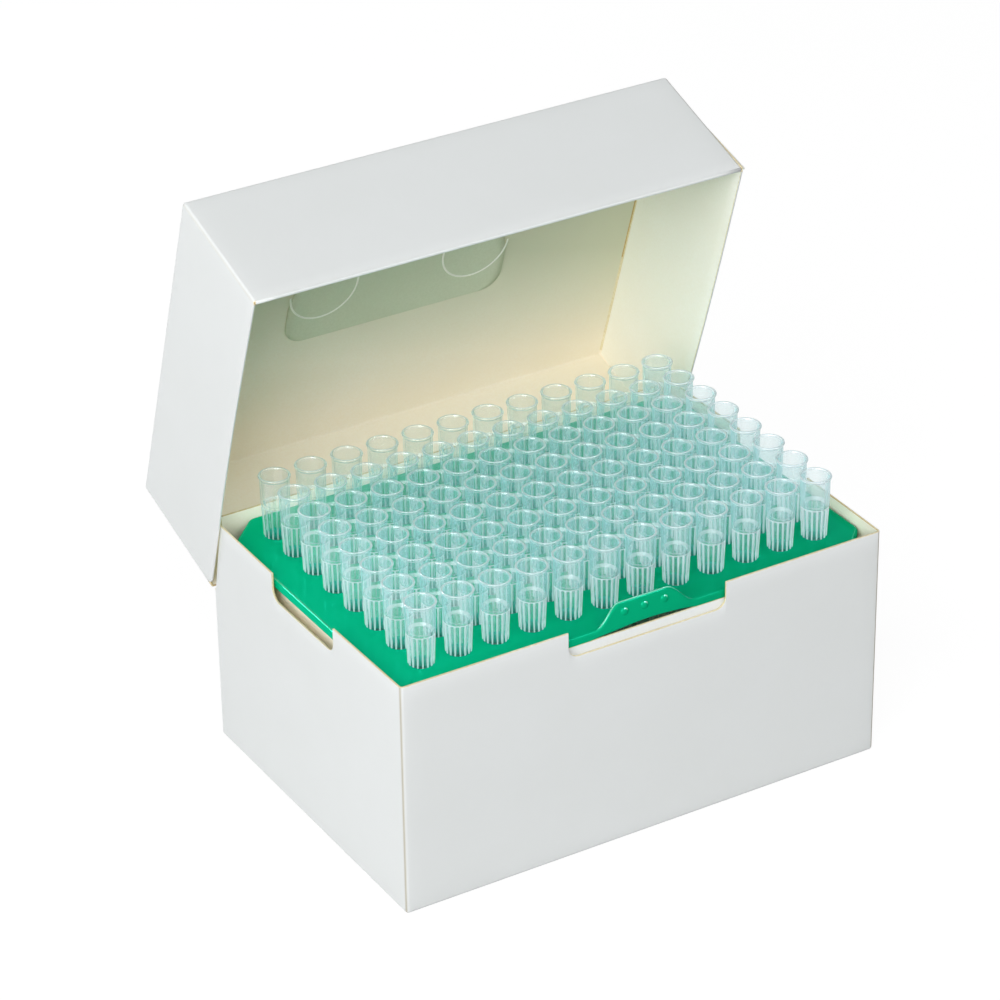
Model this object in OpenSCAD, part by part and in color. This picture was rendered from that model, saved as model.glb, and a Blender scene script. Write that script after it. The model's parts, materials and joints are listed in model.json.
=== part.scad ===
// Box of 96 pipette tips: a folded card carton with a hinged lid, a card liner,
// a moulded tray on the liner's top edge, and the tips hanging in the tray by their ribs.
// Millimetres, +Z up, origin at the centre of the carton's underside, +Y to the hinge.

/* [Card] */
// Thickness of the paperboard
board = 0.5; // [0.4:0.05:0.6]
// Outer radius of a fold
fold_r = 0.9; // [0.7:0.1:1.4]
// Slit between the carton's back wall and the lid along the crease
crease_slit = 0.3; // [0.2:0.05:0.5]

/* [Carton] */
// Height of the rim above the table
rim_h = 56.4; // [55:0.2:60]
// Depth of the lid's crease below the rim
crease_drop = 18; // [12:0.2:22]
// Width of the finger notch in the front wall
front_notch_w = 39.6; // [34:0.2:50]
// Width of the finger notch in each side wall
side_notch_w = 27; // [20:0.5:34]
// Depth of the notches below the rim
notch_depth = 6.2; // [4:0.1:8]
// Radius of the notches' lower corners
notch_r = 2.6; // [1:0.1:3.6]

/* [Lid] */
// How far the lid stands open from closed, in degrees
lid_open = 71.4; // [20:0.1:110]
// Air between the rims of the tips and the closed lid's lining
headroom = 1.8; // [1:0.1:6]
// Play between the lid's side panels and the carton's side walls
lid_play = 0.25; // [0.15:0.05:0.5]
// Gap between the lid's front lining and the carton's rim as the lid swings past it
swing_gap = 0.15; // [0.1:0.05:0.6]
// Radius of the side panels' corners at the crease
side_corner_r = 1.6; // [0.5:0.1:4]

/* [Lining tongue] */
// Width of the tongue that the front lining tucks under the lid's top
tongue_w = 56; // [50:1:70]
// Reach of the tongue from the lining
tongue_reach = 51; // [40:1:60]
// Shift of the tongue along the lid
tongue_shift = -2.3; // [-4:0.1:4]
// Radius of the tongue's corners
tongue_r = 5; // [2:0.5:8]
// How much narrower the tongue's neck is on each side where it leaves the lining
neck_step = 12; // [4:1:14]
// Radius of the half-moon cuts in the tongue
moon_r = 8.5; // [6:0.5:9]
// Distance between the centres of the two half-moon cuts
moon_span = 39; // [32:1:42]
// Distance of the half-moons' centres from the tongue's end
moon_inset = 14.6; // [11:0.1:18]
// Length of the straight run of each cut, on its inner side
moon_run = 9; // [2:0.5:12]
// Width of a cut line
cut_w = 0.25; // [0.2:0.05:0.5]

/* [Liner] */
// Gap between the liner and the carton's side walls
liner_side_gap = 0.9; // [0.5:0.1:1.2]
// Gap between the liner and the carton's front wall
liner_front_gap = 0.3; // [0.2:0.05:0.5]
// Gap between the liner's back panel and the closed lid's back panel
liner_back_gap = 0.3; // [0.2:0.05:0.6]
// Height of the liner's lower edge above the carton's floor, where the floor's fold holds it up
liner_lift = 0.05; // [0.05:0.05:0.4]

/* [Tray] */
// Depth of the tray's top face below the rim
deck_drop = 2.4; // [1.4:0.1:4]
// Thickness of the tray's plate
plate_t = 1.2; // [0.8:0.1:1.6]
// Height of the skirt around the plate, from the top face down
skirt_h = 1.9; // [1.7:0.1:3]
// Thickness of the skirt
skirt_t = 1.4; // [1.3:0.1:2]
// Gap around the tray
deck_gap = 0.3; // [0.2:0.05:0.5]
// Plate beyond the centres of the outer columns
margin_x = 9.9; // [9:0.1:12]
// Plate beyond the centres of the outer rows
margin_y = 9.2; // [8.6:0.1:11]
// Leg of the cut on the back left corner
long_cut = 8; // [4:0.5:8.5]
// Leg of the cuts on the two right corners
short_cut = 6.5; // [3:0.5:7]
// Radius of the tray's corners
deck_r = 2.5; // [1:0.1:4]
// Depth of the sleeve under each hole
sleeve_h = 1.6; // [0.5:0.1:4]
// Wall of the sleeve under each hole
sleeve_t = 0.7; // [0.5:0.1:1]

/* [Finger grip of the tray] */
// Width of the grip at its foot
grip_w = 24.6; // [18:0.2:30]
// Width of the grip's crest
grip_crest_w = 14; // [8:0.2:16]
// Height of the grip above the tray's top face
grip_h = 4.5; // [3:0.1:6]
// Thickness of the grip
grip_t = 1; // [0.8:0.1:1.3]
// Angle that the grip leans back, in degrees
grip_lean = 12; // [0:1:18]
// Gap under the grip, above the liner's edge
grip_lift = 0.7; // [0.4:0.1:1.2]
// Distance between the three bumps on the grip
bump_span = 5.1; // [3:0.1:6]
// Radius of a bump
bump_r = 0.95; // [0.6:0.05:1.2]
// Height of a bump above the grip's face
bump_out = 0.45; // [0.3:0.05:0.6]

/* [Tips] */
// Distance between neighbouring tips
pitch = 9; // [8.6:0.1:9.4]
// Length of a tip
tip_length = 52; // [45:0.5:60]
// Radius of the tip's rim
rim_r = 3.6; // [3.5:0.05:3.8]
// Height of the rim's bead
bead_h = 0.6; // [0.4:0.1:1]
// Radius of the smooth collar under the bead
collar_r = 3.35; // [3.25:0.05:3.45]
// Height of the collar, bead included
collar_h = 7.5; // [5:0.1:10]
// Radius of the shoulder below the collar
shoulder_r = 3.15; // [3.05:0.05:3.2]
// Height of the ribs, from the tray to the shoulder
rib_h = 7.4; // [5:0.1:10]
// Number of ribs round a tip
rib_count = 16; // [10:1:18]
// Width of a rib
rib_w = 0.5; // [0.35:0.05:0.55]
// Radius of the ribs' feet on the tray
foot_r = 2.85; // [2.75:0.05:2.95]
// Radius of the tip between its ribs
core_r = 2.45; // [2.4:0.05:2.5]
// Radius of the tip where it passes into the tray
neck_r = 2.2; // [2.1:0.05:2.3]
// Gap between a tip and its hole
hole_gap = 0.3; // [0.2:0.05:0.4]
// Radius of the tip's end
end_r = 0.5; // [0.4:0.05:0.8]
// Wall of the tip below the shoulder
tip_wall = 0.45; // [0.35:0.05:0.5]
// Radius of the bore at the rim
mouth_r = 2.95; // [2.8:0.05:3.05]
// Radius of the bore at the foot of the collar
collar_bore_r = 2.65; // [2.5:0.05:2.7]
// Radius of the orifice
orifice_r = 0.25; // [0.15:0.05:0.3]

/* [Hidden] */
COLUMNS = 12;
ROWS = 8;
ARC_STEPS = 5;
far = 400;
eps = 0.1;

deck_h = rim_h - deck_drop;
hinge_h = rim_h - crease_drop;
deck_w = (COLUMNS - 1) * pitch + 2 * margin_x;
deck_d = (ROWS - 1) * pitch + 2 * margin_y;
inner_w = deck_w + 2 * deck_gap;
inner_d = deck_d + 2 * deck_gap + board + liner_back_gap;
carton_w = inner_w + 2 * board;
carton_d = inner_d + 2 * board;
back_y = carton_d / 2;
deck_front = -back_y + board + deck_gap;
grid_y = deck_front + deck_d / 2;

liner_foot = board + liner_lift;
liner_top = deck_h - skirt_h;
liner_w = inner_w - 2 * liner_side_gap;
liner_front = -back_y + board + liner_front_gap;
liner_back = back_y - board - liner_back_gap;
liner_d = liner_back - liner_front;

tip_top = deck_h + rib_h + collar_h;
swing_r = norm([carton_d, rim_h - hinge_h]);
lid_inner_w = carton_w + 2 * lid_play;
lid_w = lid_inner_w + 2 * board;
lid_d = swing_r + swing_gap + 2 * board;
lid_h = tip_top + headroom + 2 * board - hinge_h;
lining_y = -lid_d + 2 * board;

hole_r = neck_r + hole_gap;
ribs_top = deck_h + rib_h;

function column_name(i) = str("tips_column_", i < 10 ? "0" : "", i);

// A closed outline whose corners are arcs: each entry is [x, y, radius].
function unit(v) = v / norm(v);
function corner_arc(a, p, b) =
    let (
        here = [p[0], p[1]],
        u = unit([a[0], a[1]] - here),
        v = unit([b[0], b[1]] - here),
        half = acos(max(-1, min(1, u * v))) / 2,
        reach = p[2] / tan(half),
        centre = here + unit(u + v) * p[2] / sin(half),
        from = here + u * reach - centre,
        to = here + v * reach - centre,
        turn = atan2(from[0] * to[1] - from[1] * to[0], from * to)
    )
    [for (i = [0 : ARC_STEPS])
        let (t = turn * i / ARC_STEPS)
        centre + [from[0] * cos(t) - from[1] * sin(t), from[0] * sin(t) + from[1] * cos(t)]];
function outline(corners) =
    let (n = len(corners))
    [for (i = [0 : n - 1])
        each corners[i][2] > 0
            ? corner_arc(corners[(i + n - 1) % n], corners[i], corners[(i + 1) % n])
            : [[corners[i][0], corners[i][1]]]];

module rounded_rect(x0, y0, x1, y1, r_low, r_high) {
    polygon(outline([[x0, y0, r_low], [x1, y0, r_low], [x1, y1, r_high], [x0, y1, r_high]]));
}

// A block with its four upright edges and its two long bottom edges rounded, as folded card is.
module folded_block(w, y0, y1, h, r) {
    intersection() {
        linear_extrude(h) rounded_rect(-w / 2, y0, w / 2, y1, r, r);
        translate([-w / 2, 0, 0]) rotate([90, 0, 90]) linear_extrude(w) rounded_rect(y0, 0, y1, h, r, 0);
    }
}

// A folded card box, open at the top.
module card_box(w, y0, y1, h) {
    difference() {
        folded_block(w, y0, y1, h, fold_r);
        translate([0, 0, board])
            folded_block(w - 2 * board, y0 + board, y1 - board, h, fold_r - board);
    }
}

// A finger notch cut down from the rim, through a wall that stands along X at y = 0.
module notch(w) {
    translate([0, fold_r + eps, rim_h]) rotate([90, 0, 0]) linear_extrude(2 * (fold_r + eps))
        rounded_rect(-w / 2, -notch_depth, w / 2, notch_depth, notch_r, 0);
}

module carton() {
    color("#eceeec") difference() {
        card_box(carton_w, -back_y, back_y, rim_h);
        // the back wall ends at the crease, and the side walls stop short of the closed lid's back panel
        translate([-far / 2, liner_back, hinge_h - crease_slit / 2]) cube([far, far, far]);
        translate([0, -back_y, 0]) notch(front_notch_w);
        for (side = [-1, 1])
            translate([side * carton_w / 2, grid_y, 0]) rotate([0, 0, 90]) notch(side_notch_w);
    }
}

// The card ring inside the carton: its front and sides carry the tray, its back panel reaches the rim.
module liner() {
    color("#e6dfc8") difference() {
        translate([0, 0, liner_foot]) linear_extrude(rim_h - liner_foot) difference() {
            rounded_rect(-liner_w / 2, liner_front, liner_w / 2, liner_back, fold_r, fold_r);
            rounded_rect(-liner_w / 2 + board, liner_front + board, liner_w / 2 - board, liner_back - board,
                fold_r - board, fold_r - board);
        }
        translate([-far / 2, liner_back - board - far, liner_top]) cube([far, far, far]);
    }
}

// The tongue of the lining, seen from inside the lid, with its two half-moon cuts.
module tongue() {
    end = lining_y + tongue_reach;
    half = tongue_w / 2;
    moon_y = end - moon_inset;
    shoulder_y = end - moon_inset + 3;
    difference() {
        linear_extrude(board) polygon(outline([
            [-half + neck_step, lining_y - board / 2, 0], [half - neck_step, lining_y - board / 2, 0],
            [half, shoulder_y, tongue_r], [half, end, tongue_r],
            [-half, end, tongue_r], [-half, shoulder_y, tongue_r]]));
        for (side = [-1, 1]) translate([side * moon_span / 2, moon_y, -eps])
            linear_extrude(board / 2 + eps) {
                intersection() {
                    difference() {
                        circle(r = moon_r, $fn = 64);
                        circle(r = moon_r - cut_w, $fn = 64);
                    }
                    translate([-2 * moon_r, 0]) square([4 * moon_r, 2 * moon_r]);
                }
                translate([side > 0 ? -moon_r : moon_r - cut_w, -moon_run]) square([cut_w, moon_run]);
            }
    }
}

// The lid in its own frame: the crease along X at the origin, the closed lid towards -Y.
module lid_closed() {
    difference() {
        translate([0, 0, lid_h]) mirror([0, 0, 1]) card_box(lid_w, -lid_d, 0, lid_h - crease_slit / 2);
        // the side panels' lower corners at the crease are rounded off
        for (side = [-1, 1]) translate([side * lid_w / 2, 0, crease_slit / 2]) rotate([90, 0, 90])
            linear_extrude(2 * board, center = true) difference() {
                translate([-side_corner_r, 0]) square([side_corner_r + eps, side_corner_r]);
                translate([-side_corner_r, side_corner_r]) circle(r = side_corner_r, $fn = 48);
            }
    }
    // the front panel is doubled by its lining, which is folded in at the free edge
    translate([-lid_inner_w / 2, -lid_d + board - eps, crease_slit / 2])
        cube([lid_inner_w, board + eps, lid_h - board - crease_slit / 2]);
    translate([tongue_shift, 0, lid_h - 2 * board]) tongue();
}

module lid() {
    color("#eceeec") translate([0, back_y, hinge_h]) rotate([-lid_open, 0, 0]) lid_closed();
}

module deck_outline(inset) {
    x = deck_w / 2 - inset;
    y0 = deck_front + inset;
    y1 = deck_front + deck_d - inset;
    cut_l = long_cut - inset * (2 - sqrt(2));
    cut_s = short_cut - inset * (2 - sqrt(2));
    r = deck_r - min(inset, deck_r / 2);
    polygon(outline([
        [-x, y0, r], [x - cut_s, y0, r], [x, y0 + cut_s, r], [x, y1 - cut_s, r],
        [x - cut_s, y1, r], [-x + cut_l, y1, r], [-x, y1 - cut_l, r]]));
}

module at_each_tip() {
    for (i = [0 : COLUMNS - 1], j = [0 : ROWS - 1])
        translate([(i - (COLUMNS - 1) / 2) * pitch, grid_y + (j - (ROWS - 1) / 2) * pitch]) children();
}

// The scalloped finger grip that stands up from the tray's front edge, with three bumps on its face.
module grip() {
    low = liner_top + grip_lift - deck_h;
    foot = grip_w / 2;
    crest = grip_crest_w / 2;
    blend = (foot - crest) * 0.7;
    translate([0, deck_front, deck_h]) rotate([-grip_lean, 0, 0]) {
        translate([0, grip_t, 0]) rotate([90, 0, 0]) linear_extrude(grip_t) polygon(outline([
            [-foot, low, 0.3], [foot, low, 0.3], [foot - blend / 3, grip_h * 0.3, 1.5],
            [crest, grip_h, blend], [-crest, grip_h, blend], [-foot + blend / 3, grip_h * 0.3, 1.5]]));
        ball_r = (bump_r ^ 2 + bump_out ^ 2) / (2 * bump_out);
        for (i = [-1 : 1]) translate([i * bump_span, ball_r - bump_out, grip_h / 2])
            intersection() {
                sphere(r = ball_r, $fn = 32);
                translate([0, grip_t / 2 - ball_r, 0]) cube([2 * ball_r, grip_t + 2 * bump_out, 2 * ball_r], center = true);
            }
    }
}

module tray() {
    color("#00a878") {
        difference() {
            union() {
                translate([0, 0, deck_h - plate_t]) linear_extrude(plate_t) deck_outline(0);
                translate([0, 0, liner_top]) linear_extrude(skirt_h) difference() {
                    deck_outline(0);
                    deck_outline(skirt_t);
                }
            }
            translate([0, 0, deck_h - plate_t - eps]) linear_extrude(plate_t + 2 * eps)
                at_each_tip() circle(r = hole_r, $fn = 48);
            // room under the grip
            translate([-grip_w / 2, deck_front - eps, liner_top - eps])
                cube([grip_w, skirt_t + 2 * eps, grip_lift + eps]);
        }
        translate([0, 0, deck_h - plate_t - sleeve_h]) linear_extrude(sleeve_h) at_each_tip() difference() {
            circle(r = hole_r + sleeve_t, $fn = 48);
            circle(r = hole_r, $fn = 48);
        }
        grip();
    }
}

// The ribs' section seen from above: a round core with square ribs.
module rib_star() {
    reach = rim_r + 1;
    polygon([for (i = [0 : rib_count - 1])
        let (a = 360 * i / rib_count, at_core = asin(rib_w / 2 / core_r), at_reach = asin(rib_w / 2 / reach))
        each [
            core_r * [cos(a - at_core), sin(a - at_core)], reach * [cos(a - at_reach), sin(a - at_reach)],
            reach * [cos(a + at_reach), sin(a + at_reach)], core_r * [cos(a + at_core), sin(a + at_core)]]]);
}

// One tip: the collar, the ribbed section clipped to its taper, and the long cone through the tray.
module tip() {
    bore_low = neck_r - tip_wall;
    bore_high = core_r - 0.75 * tip_wall;
    rotate_extrude($fn = 48) polygon([
        [bore_high, ribs_top], [shoulder_r, ribs_top], [collar_r, tip_top - bead_h],
        [rim_r, tip_top - 0.6 * bead_h], [rim_r - 0.1, tip_top], [mouth_r, tip_top],
        [collar_bore_r, ribs_top + 0.6]]);
    intersection() {
        translate([0, 0, deck_h]) linear_extrude(rib_h) rib_star();
        rotate_extrude($fn = 48) polygon([
            [bore_low, deck_h], [foot_r, deck_h], [shoulder_r, ribs_top], [bore_high, ribs_top]]);
    }
    rotate_extrude($fn = 48) polygon([
        [orifice_r, tip_top - tip_length], [end_r, tip_top - tip_length],
        [neck_r, deck_h], [bore_low, deck_h]]);
}

module tips_column(i) {
    color("#cfe6e4", 0.6) for (j = [0 : ROWS - 1])
        translate([(i - (COLUMNS + 1) / 2) * pitch, grid_y + (j - (ROWS - 1) / 2) * pitch, 0]) tip();
}

carton();
lid();
liner();
tray();
for (i = [1 : COLUMNS]) tips_column(i);
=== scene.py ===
import json
import math

import bmesh
import bpy
import numpy as np
from mathutils import Matrix, Vector


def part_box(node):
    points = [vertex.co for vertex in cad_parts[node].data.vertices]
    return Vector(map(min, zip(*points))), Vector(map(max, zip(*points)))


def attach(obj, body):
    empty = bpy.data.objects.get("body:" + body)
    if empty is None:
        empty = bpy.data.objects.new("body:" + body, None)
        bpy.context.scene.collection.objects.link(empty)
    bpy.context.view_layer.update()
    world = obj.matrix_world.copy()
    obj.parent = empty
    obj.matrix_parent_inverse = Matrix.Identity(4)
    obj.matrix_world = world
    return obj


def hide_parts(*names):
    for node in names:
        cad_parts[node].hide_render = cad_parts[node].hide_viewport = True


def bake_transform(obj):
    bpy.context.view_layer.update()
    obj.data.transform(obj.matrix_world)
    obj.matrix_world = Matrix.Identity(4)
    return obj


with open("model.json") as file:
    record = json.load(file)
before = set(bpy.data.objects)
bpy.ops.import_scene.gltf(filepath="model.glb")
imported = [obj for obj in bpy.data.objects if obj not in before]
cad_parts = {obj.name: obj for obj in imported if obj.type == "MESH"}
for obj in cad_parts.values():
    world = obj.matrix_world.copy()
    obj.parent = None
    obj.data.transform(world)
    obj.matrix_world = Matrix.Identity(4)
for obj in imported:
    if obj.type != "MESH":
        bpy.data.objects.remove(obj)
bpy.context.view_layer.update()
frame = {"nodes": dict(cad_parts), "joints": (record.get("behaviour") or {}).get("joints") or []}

MM = 0.001

# ---------------------------------------------------------------------------------------------
# Studio. A long lens looks down on the open box from its front left. The floor is white and
# seamless. Softboxes hang in front and on the left, and two small lamps add the sharp glints.
# ---------------------------------------------------------------------------------------------

AZIMUTH, ELEVATION, ROLL = math.radians(-30.65), math.radians(29.51), math.radians(-0.85)
LENS, SENSOR = 148.3, 36.0
DISTANCE = 0.8975
TARGET = Vector((-0.0076, 0.0058, 0.0619))
CLIP_NEAR, CLIP_FAR = 0.05, 20


def linear(code):
    """sRGB hex code to linear RGBA: c / 12.92 up to 0.04045, above it ((c + 0.055) / 1.055) ^ 2.4."""
    srgb = np.array([int(code[i : i + 2], 16) for i in (1, 3, 5)]) / 255
    return (*np.where(srgb <= 0.04045, srgb / 12.92, ((srgb + 0.055) / 1.055) ** 2.4).tolist(), 1.0)


def add(tree, kind, inputs=None, **properties):
    """Adds a shader node, sets its properties, and gives each named input a value or a link, which comes
    from a socket or from another node's first output."""
    node = tree.nodes.new("ShaderNode" + kind)
    for name, value in properties.items():
        setattr(node, name, value)
    for name, value in (inputs or {}).items():
        if isinstance(value, bpy.types.Node):
            value = value.outputs[0]
        if isinstance(value, bpy.types.NodeSocket):
            tree.links.new(value, node.inputs[name])
        else:
            node.inputs[name].default_value = value
    return node


def new_material(name):
    """An empty node material and its tree."""
    material = bpy.data.materials.new(name)
    material.use_nodes = True
    material.node_tree.nodes.clear()
    return material, material.node_tree


def seen_directly(tree):
    """1 for rays from the camera, a reflection or a clear wall, 0 for rays that carry light."""
    path = add(tree, "LightPath").outputs
    either = add(tree, "Math", {0: path["Is Camera Ray"], 1: path["Is Glossy Ray"]}, operation="MAXIMUM")
    return add(tree, "Math", {0: either, 1: path["Is Transmission Ray"]}, operation="MAXIMUM")


level = math.cos(ELEVATION)
back = Vector((math.sin(AZIMUTH) * level, -math.cos(AZIMUTH) * level, math.sin(ELEVATION)))
right = Vector((math.cos(AZIMUTH), math.sin(AZIMUTH), 0))
up = back.cross(right)
lens_x = right * math.cos(ROLL) + up * math.sin(ROLL)
lens_y = up * math.cos(ROLL) - right * math.sin(ROLL)
lens_turn = Matrix((lens_x, lens_y, back)).transposed().to_4x4()
camera_data = bpy.data.cameras.new("studio_camera")
camera_data.lens, camera_data.sensor_width = LENS, SENSOR
camera_data.clip_start, camera_data.clip_end = CLIP_NEAR, CLIP_FAR
camera = bpy.data.objects.new("studio_camera", camera_data)
camera.matrix_world = Matrix.Translation(TARGET + back * DISTANCE) @ lens_turn
scene = bpy.context.scene
scene.collection.objects.link(camera)
scene.camera = camera
scene.view_settings.view_transform = "Standard"

# Light passes many clear walls one behind the other, and bounces often between the lid's white panels.
scene.cycles.transparent_max_bounces = 96
scene.cycles.max_bounces = 24
scene.cycles.diffuse_bounces = 12
scene.cycles.glossy_bounces = 8

FLOOR_HALF, FLOOR_DROP = 3.0, 0.1 * MM
FLOOR_SHOWS_SHADOW, FLOOR_GLOW = 0.14, 1.07

# Matt white paper sweep: it reads as clean white and still carries the box's soft shadow.
material, tree = new_material("white_paper_sweep")
tone = add(tree, "MixRGB", {0: seen_directly(tree), 1: linear("#B3B3B3"), 2: linear("#FAFAFA")})
paper = add(tree, "BsdfDiffuse", {"Color": tone})
glow = add(tree, "Emission", {"Color": linear("#FFFFFF"), "Strength": FLOOR_GLOW})
share = add(tree, "Math", {0: seen_directly(tree), 1: 1 - FLOOR_SHOWS_SHADOW}, operation="MULTIPLY")
add(tree, "OutputMaterial", {"Surface": add(tree, "MixShader", {0: share, 1: paper, 2: glow})})
mesh = bpy.data.meshes.new("studio_floor")
corners = FLOOR_HALF * np.array([(-1, -1, 0), (1, -1, 0), (1, 1, 0), (-1, 1, 0)]) - (0, 0, FLOOR_DROP)
mesh.from_pydata(corners.tolist(), [], [(0, 1, 2, 3)])
mesh.materials.append(material)
floor = bpy.data.objects.new("studio_floor", mesh)
scene.collection.objects.link(floor)

AMBIENT = 0.16
world = bpy.data.worlds.new("studio")
world.use_nodes = True
tree = world.node_tree
tree.nodes.clear()
dim = add(tree, "Background", {"Color": linear("#FCFEFF"), "Strength": AMBIENT})
white = add(tree, "Background", {"Color": linear("#FFFFFF"), "Strength": 1.0})
add(tree, "OutputWorld", {"Surface": add(tree, "MixShader", {0: seen_directly(tree), 1: dim, 2: white})})
scene.world = world

LAMPS_AIM_AT = Vector((0, 0, 0.05))
# name, degrees round from the front towards the left, degrees up, distance, size, watts
for name, turn, climb, reach, size, power in (
    ("softbox_front", 0, 40, 1.35, 1.0, 4.0),
    ("softbox_left_low", 55, 12, 1.35, 1.0, 8.9),
    ("softbox_left_high", 55, 35, 1.35, 1.0, 8.8),
    ("softbox_left_rear", 125, 25, 1.35, 0.8, 1.6),
    ("lamp_left_rear", 146, 26, 1.35, 0.2, 2.6),
    ("lamp_right", -42, 48, 1.35, 0.25, 2.6),
):
    data = bpy.data.lights.new(name, "AREA")
    data.shape, data.size, data.energy = "SQUARE", size, power
    lamp = bpy.data.objects.new(name, data)
    turn, climb = math.radians(turn), math.radians(climb)
    level = math.cos(climb)
    place = reach * Vector((-math.sin(turn) * level, -math.cos(turn) * level, math.sin(climb)))
    aim = place.to_track_quat("Z", "Y").to_matrix().to_4x4()
    lamp.matrix_world = Matrix.Translation(place + LAMPS_AIM_AT) @ aim
    scene.collection.objects.link(lamp)

# ---------------------------------------------------------------------------------------------
# Carton. One blank of folding boxboard, 0.5 mm thick, clay-coated white outside and cream where
# it is bare inside, scored and folded round soft corners, with die-cut finger notches in its rim.
# ---------------------------------------------------------------------------------------------

BOARD = 0.5 * MM
FOLD_R = 0.9 * MM
CUT_R = 0.1 * MM
CREASE_SLIT = 0.15 * MM
PANEL_STEP = 4 * MM
NOTCH_DEPTH, NOTCH_R = 6.2 * MM, 2.6 * MM
FRONT_NOTCH, SIDE_NOTCH = 39.6 * MM, 27 * MM
NOTCH_SIDE_Y = -0.4 * MM
WALL_BOW = 0.35 * MM
DOUBLES, NEEDLES = 2e-6, 1e-7
SCORE_AT, SCORE_WIDTH = 0.35, 0.16
carton_half_w, carton_half_d, carton_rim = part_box("carton")[1]
hinge = frame["joints"][0]
hinge_y, hinge_z = hinge["pos_m"][1], hinge["pos_m"][2]


def coated_board():
    """Clay-coated folding boxboard: smooth, almost matt white, with a faint cloudy tone from the fibres below
    the coat and a fine calendered grain. The attribute crease paints a tan-grey shade into the score's groove
    on folds."""
    material, tree = new_material("coated_boxboard")
    place = add(tree, "TexCoord").outputs["Object"]
    cloud = add(tree, "TexNoise", {"Vector": place, "Scale": 0.06 / MM, "Detail": 4.0})
    tone = add(tree, "MixRGB", {0: cloud.outputs["Fac"], 1: linear("#E5E8E8"), 2: linear("#E1E4E3")})
    crease = add(tree, "Attribute", attribute_name="crease")
    # Painted shade: the score's groove on folds is darkened to a tan grey by the attribute crease.
    groove_shaded = add(tree, "MixRGB", {0: crease.outputs["Fac"], 1: tone, 2: linear("#B3AC9A")})
    grain = add(tree, "TexNoise", {"Vector": place, "Scale": 1.4 / MM, "Detail": 3.0})
    bump = add(tree, "Bump", {"Height": grain.outputs["Fac"], "Strength": 0.12, "Distance": 0.05 * MM})
    coat = {"Base Color": groove_shaded, "Roughness": 0.55, "Specular IOR Level": 0.35, "Normal": bump}
    add(tree, "OutputMaterial", {"Surface": add(tree, "BsdfPrincipled", coat)})
    return material


def bare_board(name, light, dark, painted_shade_tone=None):
    """Bare fibre side or cut edge of the board: matt, speckled by fibres about 0.5 mm long. An optional
    colour of painted shade: the tone moves to it as z + x / 4 goes from 68 to 98 mm, up under the lid's front
    panel."""
    material, tree = new_material(name)
    place = add(tree, "TexCoord").outputs["Object"]
    cloud = add(tree, "TexNoise", {"Vector": place, "Scale": 0.045 / MM, "Detail": 5.0})
    fibres = add(tree, "TexNoise", {"Vector": place, "Scale": 1.8 / MM, "Detail": 2.0})
    both = add(tree, "Math", {0: cloud.outputs["Fac"], 1: fibres.outputs["Fac"]}, operation="MULTIPLY")
    wide = add(tree, "MapRange", {"Value": both, "From Min": 0.12, "From Max": 0.4})
    tone = add(tree, "MixRGB", {0: wide, 1: linear(dark), 2: linear(light)})
    if painted_shade_tone:
        # Painted shade: the tone darkens up under the lid's front panel.
        climb = add(tree, "VectorMath", {0: place, 1: (0.25, 0, 1)}, operation="DOT_PRODUCT").outputs["Value"]
        climb = add(tree, "MapRange", {"Value": climb, "From Min": 68 * MM, "From Max": 98 * MM})
        tone = add(tree, "MixRGB", {0: climb, 1: tone, 2: linear(painted_shade_tone)})
    bump = add(tree, "Bump", {"Height": fibres.outputs["Fac"], "Strength": 0.25, "Distance": 0.08 * MM})
    fibre = {"Base Color": tone, "Roughness": 0.85, "Specular IOR Level": 0.2, "Normal": bump}
    add(tree, "OutputMaterial", {"Surface": add(tree, "BsdfPrincipled", fibre)})
    return material


COAT = coated_board()
# The cream inside of the sheet, with painted shade up under the lid's front panel; a paler tone painted as
# light on the inside of the lid's side panels; a greenish grey painted as shade and the tray's green light on
# the lining; the cut edge; and the browner pulp where a cut is torn.
INSIDE = bare_board("bare_boxboard", "#F9F2E4", "#F6EDDB", painted_shade_tone="#D5D4BD")
LIT_INSIDE = bare_board("bare_boxboard_lit_painted", "#FBFAF2", "#F7F5EA")
SHADED_LINING = bare_board("lining_boxboard_shade_painted", "#D8DCC6", "#D1D5BD")
EDGE = bare_board("cut_boxboard_edge", "#EFE7CF", "#DCCDA4")
PULP = bare_board("cut_boxboard_pulp", "#D0B478", "#B9985A")
BOARD_FACES = (COAT, INSIDE, EDGE, PULP, LIT_INSIDE)
ON_COAT, ON_INSIDE, ON_EDGE, ON_PULP, ON_LIT_INSIDE = range(5)


def grid_faces(rows, columns, wrap):
    """Quads of a grid of points, row by row, as an (n, 4) array; wrap closes each row on itself."""
    j, i = np.mgrid[0 : rows - 1, 0 : columns if wrap else columns - 1]
    here, beside = j * columns + i, j * columns + (i + 1) % columns
    return np.stack([here, beside, beside + columns, here + columns], -1).reshape(-1, 4)


def piece(name, points, faces, materials, face_material=None):
    """A mesh object from points and faces, with the number of a material for each face."""
    mesh = bpy.data.meshes.new(name)
    mesh.from_pydata(np.asarray(points).reshape(-1, 3).tolist(), [], np.asarray(faces).tolist())
    for material in materials:
        mesh.materials.append(material)
    if face_material is not None:
        mesh.polygons.foreach_set("material_index", np.asarray(face_material, np.int32))
    obj = bpy.data.objects.new(name, mesh)
    scene.collection.objects.link(obj)
    return obj


def give_values(obj, name, values):
    """Gives each point of the mesh its value of a named attribute that the material reads."""
    values = np.asarray(values, np.float32).ravel()
    obj.data.attributes.new(name, "FLOAT", "POINT").data.foreach_set("value", values)


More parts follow.
